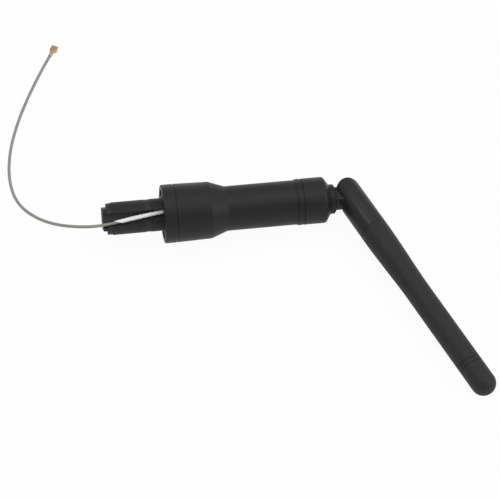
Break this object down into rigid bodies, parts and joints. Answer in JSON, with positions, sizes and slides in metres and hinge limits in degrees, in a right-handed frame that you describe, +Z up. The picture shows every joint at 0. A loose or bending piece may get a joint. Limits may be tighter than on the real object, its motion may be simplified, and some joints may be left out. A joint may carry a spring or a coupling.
{
  "type": "folding transmitter antenna",
  "caption": "Folding whip antenna for a hand-held radio transmitter: keyed mounting spigot, barrel, swivel knuckle, folding whip and thin coax pigtail with a push-on plug.",
  "frame": {"origin": "centre of the seat plane, on the barrel's axis, where the mounting spigot starts", "axes": "+X along the barrel towards the nose, 2.6 degrees nose down; +Z up from the surface that the antenna lies on"},
  "size_m": [0.1565, 0.1791, 0.0212],
  "materials": {
    "black_moulding": "satin moulded black plastic",
    "whip_moulding": "satin moulded black plastic, a little glossier",
    "whip_tube": "fine matt black plastic",
    "spring_steel": "plain spring steel",
    "coax_jacket": "smooth warm grey fluoropolymer jacket",
    "white_sleeve": "white heat-shrink sleeve",
    "gold_plate": "thin gold plating",
    "white_insulator": "natural white insulator",
    "element_brass": "plain brass",
    "copper_wire": "bare copper",
    "grey_foam": "grey foam"
  },
  "bodies": {
    "barrel": {"mounting_spigot": "black_moulding", "rear_ring": "black_moulding", "barrel_shell": "black_moulding", "trim_ring": "black_moulding", "nose_cap": "black_moulding", "spring_washer": "spring_steel", "barrel_coax": "coax_jacket", "pigtail": "coax_jacket", "cable_sleeve": "white_sleeve", "plug_shell": "gold_plate", "plug_insulator": "white_insulator", "plug_contact": "gold_plate"},
    "knuckle": {"knuckle": "black_moulding", "retaining_clip": "spring_steel", "hinge_pins": "spring_steel"},
    "whip": {"whip_base": "whip_moulding", "radome_tube": "whip_tube", "tip_cap": "whip_tube", "whip_coax": "coax_jacket", "dipole_sleeve": "element_brass", "radiator_dielectric": "white_insulator", "radiator_wire": "copper_wire", "sleeve_spacers": "grey_foam", "radiator_spacer": "grey_foam"}
  },
  "joints": [
    {"name": "swivel", "type": "hinge", "parent": "barrel", "child": "knuckle", "pos_m": [0.05974, 0, -0.00269], "axis": [0.999, 0, -0.045], "range_deg": [-180, 180]},
    {"name": "fold", "type": "hinge", "parent": "knuckle", "child": "whip", "pos_m": [0.06759, 0, -0.00304], "axis": [0.045, -0.024, 0.9987], "range_deg": [-21.2, 68.8]}
  ]
}
